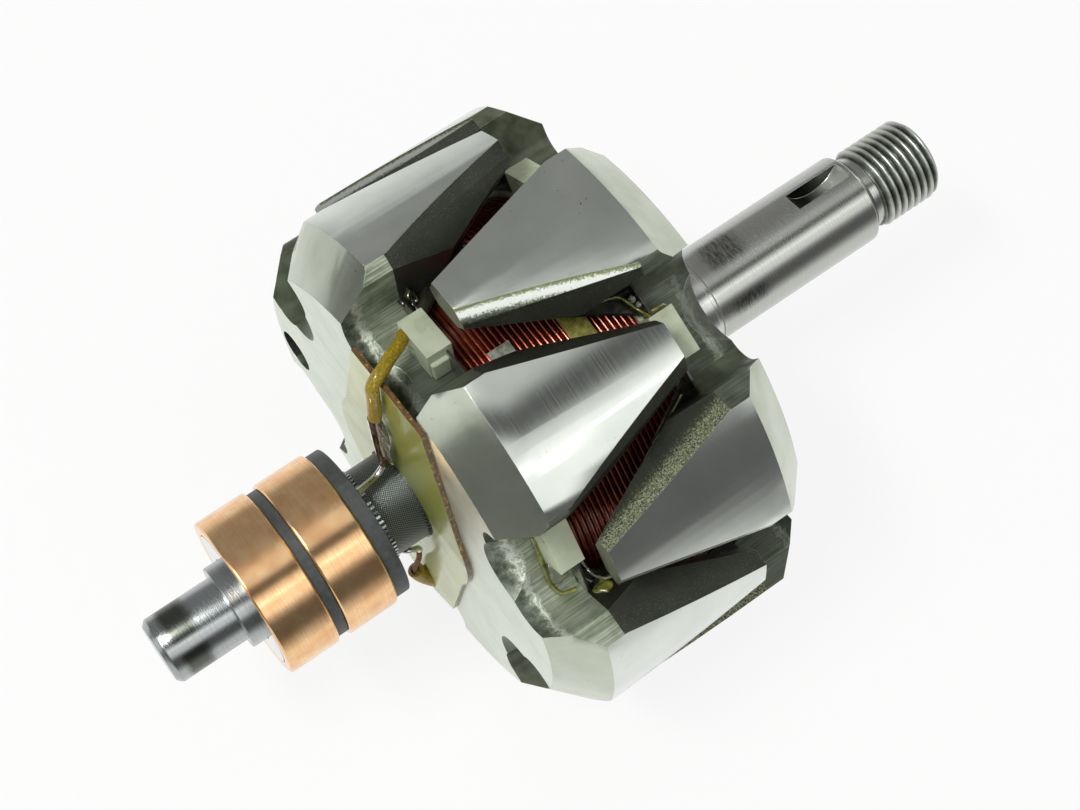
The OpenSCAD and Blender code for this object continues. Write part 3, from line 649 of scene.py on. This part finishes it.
def grown(name, tree, slot, sizes, replaced=(), source=None):
    """Runs a tree and keeps its result as a plain mesh piece."""
    blank = bpy.data.objects.new(name + "_blank", source or bpy.data.meshes.new(name + "_blank"))
    scene.collection.objects.link(blank)
    modifier = blank.modifiers.new("grow", "NODES")
    modifier.node_group = tree
    for item in tree.interface.items_tree:
        if item.in_out == "INPUT" and item.name in sizes:
            modifier[item.identifier] = sizes[item.name]
    mesh = bpy.data.meshes.new_from_object(blank.evaluated_get(bpy.context.evaluated_depsgraph_get()))
    mesh.name = name
    blank.modifiers.remove(modifier)
    bpy.data.objects.remove(blank)
    return piece(name, mesh, slot, *replaced)


def wire_turns_tree():
    """Turns of wire side by side round the shaft's axis, each a little off its place."""
    node, given, done = new_tree("wire_turns", "Pitch", "Coil_radius", "Wire_radius", "First_station", "Wander",
                                 Turns="Int", Seed="Int")
    start = node("CombineXYZ", given["First_station"])
    step = node("CombineXYZ", given["Pitch"])
    places = node("MeshLine", given["Turns"], start, step)
    loop = node("CurvePrimitiveCircle", 132, given["Coil_radius"])
    size = node("FunctionNodeRandomValue", 0.998, 1.002, None, given["Seed"])
    spread = node("CombineXYZ", size, size, 1.0)
    turns = node("InstanceOnPoints", Points=places, Instance=loop, Rotation=(0, math.pi / 2, 0),
                 Scale=spread)
    real = node("RealizeInstances", turns)
    cloud = node("TexNoise", mm=7, Detail=1.0, out=1)
    centred = node("VectorMath:SUBTRACT", cloud, (0.5, 0.5, 0.5))
    drift = node("VectorMath:SCALE", centred, Scale=given["Wander"])
    laid = node("SetPosition", real, Offset=drift)
    section = node("CurvePrimitiveCircle", 7, given["Wire_radius"])
    return done(node("CurveToMesh", laid, section))


def thread_tree():
    """A screw thread about the X axis: a tube whose radius follows a helix, chamfered at its ends."""
    node, given, done = new_tree("screw_thread", "First_station", "Length", "Pitch", "Root_radius", "Depth")
    grid = node("MeshGrid", 1.0, 1.0, 150, 73)
    spot = node("SeparateXYZ", node("InputPosition"), out=None)
    along, around = (node("Math:ADD", share, 0.5) for share in spot[:2])
    run = node("Math:MULTIPLY", along, given["Length"])
    station = node("Math:ADD", run, given["First_station"])
    count = node("Math:DIVIDE", run, given["Pitch"])
    lead = node("Math:SUBTRACT", count, around)
    saw = node("Math:PINGPONG", lead, 0.5)
    tooth = node("Math:MULTIPLY", saw, 2.0)
    height = node("MapRange", tooth, 0.1, 0.85, 0.0, 1.0)
    crest = node("Math:MULTIPLY_ADD", height, given["Depth"], given["Root_radius"])
    left = node("Math:SUBTRACT", given["Length"], run)
    nearest = node("Math:MINIMUM", run, left)
    chamfer = node("Math:ADD", nearest, given["Root_radius"])
    radius = node("Math:MINIMUM", crest, chamfer)
    turn = node("Math:MULTIPLY", around, 2 * math.pi)
    parts = node("Math:COSINE", turn), node("Math:SINE", turn)
    y, z = (node("Math:MULTIPLY", radius, part) for part in parts)
    shaped = node("SetPosition", grid, Position=node("CombineXYZ", station, y, z))
    closed = node("MergeByDistance", shaped, Distance=0.001 * MM)
    return done(node("FlipFaces", closed))


def teeth_tree():
    """Short square teeth standing round the shaft, as a straight knurl leaves them."""
    node, given, done = new_tree("knurl_teeth", "Station", "Radius", Count="Int", Seed="Int",
                                 Tooth_size="Vector")
    index = node("InputIndex")
    step = node("Math:DIVIDE", 2 * math.pi, given["Count"])
    turn = node("Math:MULTIPLY", index, step)
    parts = node("Math:COSINE", turn), node("Math:SINE", turn)
    y, z = (node("Math:MULTIPLY", given["Radius"], part) for part in parts)
    spots = node("Points", given["Count"], node("CombineXYZ", given["Station"], y, z))
    tooth = node("MeshCube", given["Tooth_size"], 2, 2, 2)
    length = node("FunctionNodeRandomValue", 0.75, 1.15, None, given["Seed"])
    turned = node("CombineXYZ", turn)
    spread = node("CombineXYZ", length, 1.0, 1.0)
    teeth = node("InstanceOnPoints", Points=spots, Instance=tooth, Rotation=turned, Scale=spread)
    return done(teeth, smooth=False)


def bead_tree():
    """A round bead along the edges of a source mesh, its line and its thickness a little uneven."""
    node, given, done = new_tree("bead", "Spacing", "Radius", "Wander", "Unevenness", "Grain", Sides="Int")
    line = node("MeshToCurve", given["Geometry"])
    even = node("ResampleCurve", line, mode="LENGTH", Length=given["Spacing"])
    scale = node("Math:DIVIDE", 1.0, given["Grain"])
    shift = node("TexNoise", Scale=scale, Detail=1.0, out=1)
    centred = node("VectorMath:SUBTRACT", shift, (0.5, 0.5, 0.5))
    drift = node("VectorMath:SCALE", centred, Scale=given["Wander"])
    laid = node("SetPosition", even, Offset=drift)
    swell = node("TexNoise", Scale=scale, Detail=2.0)
    around = node("Math:SUBTRACT", swell, 0.5)
    thick = node("Math:MULTIPLY_ADD", around, given["Unevenness"], 1.0)
    size = node("Math:MULTIPLY", thick, given["Radius"])
    section = node("CurvePrimitiveCircle", given["Sides"], 1.0)
    tube = node("CurveToMesh", laid, section, Scale=size, Fill_Caps=True)
    return done(tube)


def braid_tree():
    """Yarns wound both ways round a line, as a braided sleeve has them."""
    node, given, done = new_tree("braid", "Radius", "Yarn_radius", "Lay", Yarns="Int")
    line = node("MeshToCurve", given["Geometry"])
    even = node("ResampleCurve", line, mode="LENGTH", Length=0.25 * MM)
    strands, number = node("DuplicateElements", even, domain="SPLINE", Amount=given["Yarns"],
                           out=None)
    parity = node("Math:MODULO", number, 2.0)
    hand = node("Math:MULTIPLY_ADD", parity, -2.0, 1.0)
    length = node("SplineParameter", out=1)
    first = node("Math:MULTIPLY", node("Math:DIVIDE", number, given["Yarns"]), 2 * math.pi)
    wound = node("Math:MULTIPLY", node("Math:DIVIDE", length, given["Lay"]), 2 * math.pi)
    angle = node("Math:MULTIPLY_ADD", wound, hand, first)
    normal = node("InputNormal")
    other = node("VectorMath:CROSS_PRODUCT", normal, node("InputTangent"))
    across = node("VectorMath:SCALE", normal, Scale=node("Math:COSINE", angle))
    upward = node("VectorMath:SCALE", other, Scale=node("Math:SINE", angle))
    spoke = node("VectorMath:ADD", across, upward)
    out = node("VectorMath:SCALE", spoke, Scale=given["Radius"])
    laid = node("SetPosition", strands, Offset=out)
    section = node("CurvePrimitiveCircle", 5, given["Yarn_radius"])
    return done(node("CurveToMesh", laid, section, Fill_Caps=True))


CURVE_STEPS = 8


def line_mesh(name, points):
    """A mesh of edges along a smooth curve through points in millimetres."""
    ends = [points[0]] + list(points) + [points[-1]]
    verts = []
    for i in range(1, len(ends) - 2):
        p0, p1, p2, p3 = (Vector(p) for p in ends[i - 1:i + 3])
        for k in range(CURVE_STEPS + (i == len(ends) - 3)):
            t = k / CURVE_STEPS
            spot = 0.5 * (2 * p1 + (p2 - p0) * t + (2 * p0 - 5 * p1 + 4 * p2 - p3) * t * t
                          + (3 * p1 - p0 - 3 * p2 + p3) * t * t * t)
            verts.append(spot * MM)
    mesh = bpy.data.meshes.new(name)
    mesh.from_pydata(verts, [(i, i + 1) for i in range(len(verts) - 1)], [])
    return mesh


def turned_by(points, degrees):
    """Points turned about the shaft's axis."""
    turn = Matrix.Rotation(math.radians(degrees), 3, "X")
    return [tuple(turn @ Vector(p)) for p in points]


def sleeve_route(joint_y, joint_top):
    """A field lead's sleeve from the bobbin tab over the pole face to its joint, in the valley's frame."""
    return [(-53.5, 4, 37.4), (-55.3, 2.3, 38.6), (-57.8, 0.8, 39.5), (-60, -0.6, 40), (-61.5, -1.2, 39.9),
            (-62.75, -1.4, 38.6), (-62.95, -1.4, 36), (-62.9, joint_y, joint_top)]


SHORT_SLEEVE = [(-53.5, 4, 37.4), (-55.3, 3.2, 37), (-57.8, 2.6, 35.6), (-60, 2.2, 33.4), (-61.6, 1.8, 31),
                (-62.9, 1.2, 28.8), (-63.5, 0.8, 27)]
LONG_JOINT = [(-63.1, 0.4, 26.9), (-63.25, 0.4, 19.5), (-63.25, 0.4, 12.2)]
SHORT_JOINT = [(-63.5, 0.8, 27.4), (-63.8, 2, 23), (-63.6, 4, 17), (-63.25, 4.6, 12.2)]


def wire_route(joint_y):
    """A tinned wire from its joint into the hub, in the first valley's frame."""
    return [(-63.25, joint_y, 12.4), (-63.65, joint_y, 11.5), (-65.65, joint_y - 0.4, 10.4), (-68.3, -1, 11.65),
            (-69.9, -1.4, 12.25)]


BEAD = bead_tree()
BRAID = braid_tree()
TEETH = teeth_tree()
TURNS = wire_turns_tree()


def bead(name, slot, material, points, radius, spacing, wander, uneven, grain, sides, *replaced):
    """A bead on a smooth curve through points, its sizes in millimetres."""
    grown(name, BEAD, slot, {
        "Spacing": spacing * MM, "Radius": radius * MM, "Wander": wander * MM, "Unevenness": uneven,
        "Grain": grain * MM, "Sides": sides, "Material": material}, replaced, line_mesh(name + "_line", points))


COIL_TURNS = 27
PITCH = (COIL_X[1] - COIL_X[0]) / COIL_TURNS * MM
for name, down, first, count, replaced in (
        ("outer_wire_turns", 0.5, 0.5, COIL_TURNS, ["field_winding"]),
        ("second_wire_turns", 1.37, 1.0, COIL_TURNS - 1, [])):
    grown(name, TURNS, "enamelled_wire", {
        "Turns": count, "Pitch": PITCH, "Coil_radius": (COIL_R - down) * MM, "Wire_radius": WIRE_D / 2 * MM,
        "First_station": COIL_X[0] * MM + first * PITCH, "Wander": 0.18 * MM, "Seed": 3,
        "Material": WIRE}, replaced)

grown("shaft_thread", thread_tree(), "shaft_steel", {
    "First_station": THREAD_X[0] * MM, "Length": (THREAD_X[1] - THREAD_X[0]) * MM, "Pitch": 1.5 * MM,
    "Root_radius": THREAD_ROOT_R * MM, "Depth": 0.9 * MM, "Material": THREAD})
KNURLS = [("hub_side_knurl", -69.1, 1.6, GROUND), ("strip_side_knurl", -61.9, 0.7, KNURL)]
for name, station, length, material in KNURLS:
    grown(name, TEETH, "shaft_steel", {
        "Count": 58, "Station": station * MM, "Radius": (NECK_R + 0.05) * MM,
        "Tooth_size": (length * MM, 0.5 * MM, 0.4 * MM), "Seed": 5, "Material": material})

# Name, angle, side of the joint, route of the sleeve and of the joint, radius of each, material of the joint
LEADS = [
    ("upper", VALLEY_TURN, 0.4, sleeve_route(0.4, 26.6), LONG_JOINT, 1.08, 1.05, RESIN),
    ("lower", VALLEY_TURN + 180, 4.6, SHORT_SLEEVE, SHORT_JOINT, 1.5, 0.5, COPPER_LEAD),
]
for side, turn, joint_y, sleeve, joint, sleeve_r, joint_r, dip in LEADS:
    route = turned_by(sleeve, turn)
    bead(side + "_sleeve", "woven_sleeve", YARN, route, sleeve_r, 0.5, 0.08, 0.06, 3, 18, side + "_lead_sleeve")
    grown(side + "_sleeve_braid", BRAID, "woven_sleeve", {
        "Yarns": 20, "Radius": (sleeve_r - 0.07) * MM, "Yarn_radius": 0.1 * MM, "Lay": 6.5 * MM,
        "Material": YARN}, source=line_mesh(side + "_braid_line", route))
    bead(side + "_joint", "joint_resin", dip, turned_by(joint, turn), joint_r, 0.4, 0.2, 0.25, 4, 14,
         side + "_lead_joint")
    bead(side + "_wire", "tinned_wire", TIN, turned_by(wire_route(joint_y), turn), 0.6, 0.3, 0.05, 0.15, 2, 12,
         side + "_lead_wire")

# Varnish that ran into the corners and cured there; two of the dark drops also stand for shade, as painted shade

def pool(name, turn, place, size, lumps, material):
    """A lumpy drop at a station, sideways and height beside a valley, its size along the same directions."""
    bm = bmesh.new()
    bmesh.ops.create_icosphere(bm, subdivisions=4, radius=1)
    for vert in bm.verts:
        swell = 1 + lumps * noise.noise(vert.co * 1.7 + Vector(place))
        spot = [p + v * swell * w for p, v, w in zip(place, vert.co, size)]
        vert.co = Vector(beside(turn, [spot])[0]) * MM
    for face in bm.faces:
        face.smooth = True
    # The valley's frame is left-handed, so the faces are turned to look outward again
    bmesh.ops.reverse_faces(bm, faces=bm.faces)
    mesh = bpy.data.meshes.new(name)
    bm.to_mesh(mesh)
    bm.free()
    mesh.materials.append(material)
    piece(name, mesh, "joint_resin")


FRONT_VALLEY = VALLEY_TURN + CLAW_PITCH
RUNS = [
    ("tab_foot_bead", FRONT_VALLEY, 0.42, VARNISH,
     [(-53.6, -4.6, 33.6), (-53.7, -0.5, 33.5), (-54.1, 4.4, 33.4), (-54.3, 7.3, 33.6), (-53.7, 8.9, 34.6),
      (-52.6, 9.3, 35), (-51.2, 9.5, 35.3)]),
    ("front_liner_edge", FRONT_VALLEY, 0.22, FILM,
     [(-48.7, 5, 35.2), (-48.5, 6.6, 35.9), (-48.2, 7.7, 37.4), (-47.6, 7.2, 40), (-46.8, 6.2, 41.8)]),
    ("upper_liner_edge", VALLEY_TURN, 0.24, VARNISH,
     [(-33.9, 6.8, 39.2), (-30.1, 8.4, 38), (-26.1, 9.4, 36.8), (-23.2, 10, 36), (-22.2, 11.7, 35.2),
      (-21.5, 13.2, 34.6), (-20.9, 15.6, 35)]),
    ("lower_liner_edge", FRONT_VALLEY, 0.2, VARNISH,
     [(-22.8, -10.4, 35.4), (-27.4, -8.8, 37), (-33.3, -6.9, 38.9), (-35, -6, 39.5), (-40.9, -3.7, 41.3)]),
    ("rear_tab_bead", VALLEY_TURN + CLAW_PITCH / 2, 0.34, VARNISH,
     [(-21.2, -4.9, 36.4), (-19.6, -4.7, 37.6), (-17.9, -4.5, 36.8), (-16.9, -3.4, 34.6)]),
]
for name, turn, radius, material, points in RUNS:
    bead(name, "joint_resin", material, beside(turn, points), radius, 0.25, 0.25, 0.9, 2, 10)

DROPS = [
    ("tab_foot_film", FRONT_VALLEY, (-52.2, 6.4, 33.4), (1.7, 3.0, 0.5), 0.3, FILM),
    ("lower_slot_pool", FRONT_VALLEY, (-49.3, 10.2, 34.2), (1.2, 2.8, 1.4), 0.6, DARK_VARNISH_AND_SHADE),
    ("lower_slot_resin", FRONT_VALLEY, (-47.8, 10.8, 37.4), (1.9, 1.0, 2.4), 0.4, VARNISH),
    # Partly painted shade: a real varnish film, spread as a dark sheet over the shaded wall beside it
    ("upper_slot_pool_and_shade", VALLEY_TURN, (-48.9, -11.2, 35.4), (1.5, 3.8, 2.3), 0.7, DARK_VARNISH_AND_SHADE),
    ("rear_liner_drop", VALLEY_TURN, (-21.7, 11.6, 36), (0.5, 0.6, 0.5), 0.4, FILM),
    ("rear_liner_small_drop", VALLEY_TURN, (-21.3, 12.9, 35.6), (0.4, 0.4, 0.4), 0.4, FILM),
    ("upper_joint_film", VALLEY_TURN, (-62.9, -0.6, 19.5), (0.8, 2.6, 7.0), 0.5, FILM),
    # Painted shade: a dark disc in the sleeve's open end stands for the shade inside it
    ("lower_sleeve_mouth_shade", VALLEY_TURN + 180, (-63.5, -0.8, 26.95), (1.0, 1.0, 0.3), 0.2, DARK_VARNISH_AND_SHADE),
]
for drop in DROPS:
    pool(*drop)

LOOKS = {
    "field_core": FORGED, "front_coil_tape": COTTON_TAPE, "rear_coil_tape": GLASS_TAPE,
    "front_coil_liner": PAPER, "rear_coil_liner": PAPER,
}
for name, material in LOOKS.items():
    nodes[name].data.materials.clear()
    nodes[name].data.materials.append(material)

# Camera

camera_data = bpy.data.cameras.new("camera")
camera_data.sensor_width = SENSOR_MM
camera_data.lens = SENSOR_MM * FOCAL_PX / IMAGE_W
camera_data.clip_start = 0.01
camera = bpy.data.objects.new("camera", camera_data)
scene.collection.objects.link(camera)
back = -VIEW.normalized()
right = Vector((0, 0, 1)).cross(back).normalized()
up = back.cross(right)
facing = Matrix((right, up, back)).transposed().to_4x4()
camera.matrix_world = Matrix.Translation(AXIS_POINT + CAMERA_OFFSET) @ facing
scene.camera = camera

# Studio: white floor, one long soft box, a small lamp, and cards that give the turned steel and the wires
# their bands

STUDIO_R = 1.0
STUDIO_X = (-1.0, 1.5)
ARC_TURNS = (-92, 92)
# Level of the arc by its angle from straight up towards the camera's side
ARC_LEVELS = [(-92, 0.45), (-82, 0.3), (-36, 0.28), (-14, 0.3), (-5, 0.6), (12, 0.66), (17, 0.05), (26, 0.05),
              (31, 1.05), (44, 1.15), (56, 1.25), (62, 0.5), (70, 0.13), (92, 0.13)]
# Levels of the flags on the floor by distance, on the camera's side and on the far side
FLAG_LEVELS = [(2.5, 0.13), (0.5, 0.15), (0.3, 0.25), (0.2, 0.38), (0.14, 0.6), (0.1, 0.84)]
FAR_FLAG_LEVELS = [(2.5, 0.58), (0.5, 0.65), (0.3, 0.76), (0.2, 0.87), (0.14, 0.95)]
SCREEN_R = 0.4
SCREEN_Z = (-0.046, 0.3)
SCREENS = [("near_screen", -42, 0, 0.2), ("far_screen", 24, 58, 0.24)]
# Long soft box: angle from straight up towards the camera's side, distance, station, size, watts
BOX_TURN = 40.0
BOX_AWAY = 0.8
BOX_X = 0.2
BOX_SIZE = (1.6, 0.36)
BOX_WATTS = 1.8
# Small lamp: place, width across the shaft and along it, watts
SPOT_PLACE = Vector((-0.42, 0.0, 0.84))
SPOT_SIZE = (0.3, 0.1)
SPOT_WATTS = 3.6
# Bright card over the slip-ring end for the wires: stations, angles and level
OVERHEAD_X = (-1.0, -0.42)
OVERHEAD_TURNS = (-18, 4)
OVERHEAD_LEVEL = 14.0
# Share of the floor that glows where it is in sight, and the room's level for what it lights
FLOOR_SHARE = 0.84
FLOOR_SIZE = 6
ROOM_LEVEL = 0.56


def in_sight(tree):
    """One where the camera looks, directly, in a mirror or through glass, and nought for the room's light."""
    path = add(tree, "ShaderNodeLightPath", out=None)
    sight = add(tree, "ShaderNodeMath:MAXIMUM", path[0], path[3])
    return add(tree, "ShaderNodeMath:MAXIMUM", sight, path[6])


floor_material = bpy.data.materials.new("floor_paper")
floor_material.use_nodes = True
tree = floor_material.node_tree
tree.nodes.clear()
share = add(tree, "ShaderNodeMath:MULTIPLY", in_sight(tree), FLOOR_SHARE)
paper = add(tree, "ShaderNodeBsdfDiffuse", "#f4f4f2")
glow = add(tree, "ShaderNodeEmission", "#ffffff", 1.0)
add(tree, "ShaderNodeOutputMaterial", add(tree, "ShaderNodeMixShader", share, paper, glow))

bpy.ops.mesh.primitive_plane_add(size=FLOOR_SIZE, location=(0, 0, FLOOR_Z))
floor = bpy.context.object
floor.name = "floor"
floor.data.materials.append(floor_material)


def card(name, corners, levels):
    """A strip of card seen only in reflections, from pairs of corners along it and a level at each pair."""
    mesh = bpy.data.meshes.new(name)
    mesh.from_pydata([c for pair in corners for c in pair], [],
                     [(2 * i, 2 * i + 1, 2 * i + 3, 2 * i + 2) for i in range(len(corners) - 1)])
    shade = mesh.attributes.new("level", "FLOAT", "POINT")
    shade.data.foreach_set("value", [level for level in levels for side in range(2)])
    obj = bpy.data.objects.new(name, mesh)
    scene.collection.objects.link(obj)
    paint = bpy.data.materials.new(name)
    paint.use_nodes = True
    paint.node_tree.nodes.clear()
    level = add(paint.node_tree, "ShaderNodeAttribute", attribute_name="level", out=2)
    glow = add(paint.node_tree, "ShaderNodeEmission", "#ffffff", level)
    add(paint.node_tree, "ShaderNodeOutputMaterial", glow)
    mesh.materials.append(paint)
    obj.visible_camera = obj.visible_diffuse = obj.visible_shadow = False


def arc_level(turn):
    """The arc's level at an angle, in a straight line between the two nearest stops."""
    for (a, low), (b, high) in zip(ARC_LEVELS, ARC_LEVELS[1:]):
        if turn <= b:
            return low + (high - low) * (turn - a) / (b - a)
    return ARC_LEVELS[-1][1]


def arch(radius, stations, turns):
    """Pairs of corners along an arch over the rotor."""
    spots = [(-radius * math.sin(t), radius * math.cos(t)) for t in map(math.radians, turns)]
    return [[(x, y, z) for x in stations] for y, z in spots]


turns = list(range(ARC_TURNS[0], ARC_TURNS[1] + 1, 2))
card("graded_arc", arch(STUDIO_R, STUDIO_X, turns), [arc_level(t) for t in turns])
card("overhead_card", arch(STUDIO_R - 0.03, OVERHEAD_X, OVERHEAD_TURNS), [OVERHEAD_LEVEL] * 2)
for name, hand, levels in (("near_flag", -1, FLAG_LEVELS), ("far_flag", 1, FAR_FLAG_LEVELS)):
    corners = [[(x, hand * away, FLOOR_Z + 0.002) for x in STUDIO_X] for away, _ in levels]
    card(name, corners, [level for _, level in levels])
SCREEN_STEPS = 8
for name, first, last, level in SCREENS:
    turns = [math.radians(first + (last - first) * i / SCREEN_STEPS) for i in range(SCREEN_STEPS + 1)]
    spots = [(AXIS_POINT.x - SCREEN_R * math.cos(t), SCREEN_R * math.sin(t)) for t in turns]
    card(name, [[(x, y, z) for z in SCREEN_Z] for x, y in spots], [level] * len(turns))

world = bpy.data.worlds.new("studio")
scene.world = world
world.use_nodes = True
tree = world.node_tree
tree.nodes.clear()
level = add(tree, "ShaderNodeMapRange", in_sight(tree), 0.0, 1.0, ROOM_LEVEL, 1.0)
add(tree, "ShaderNodeOutputWorld", add(tree, "ShaderNodeBackground", "#ffffff", level))

turn = math.radians(BOX_TURN)
box_place = (BOX_X, -BOX_AWAY * math.sin(turn), BOX_AWAY * math.cos(turn))
spot_turn = (AXIS_POINT - SPOT_PLACE).to_track_quat("-Z", "Y").to_euler()
for name, size, watts, place, turned in (("soft_box", BOX_SIZE, BOX_WATTS, box_place, (-turn, 0, 0)),
                                         ("small_lamp", SPOT_SIZE, SPOT_WATTS, SPOT_PLACE, spot_turn)):
    light = bpy.data.lights.new(name, "AREA")
    light.shape = "RECTANGLE"
    light.size, light.size_y = size
    light.energy = watts
    lamp = bpy.data.objects.new(name, light)
    lamp.location = place
    lamp.rotation_euler = turned
    scene.collection.objects.link(lamp)
scene.view_settings.view_transform = "Standard"
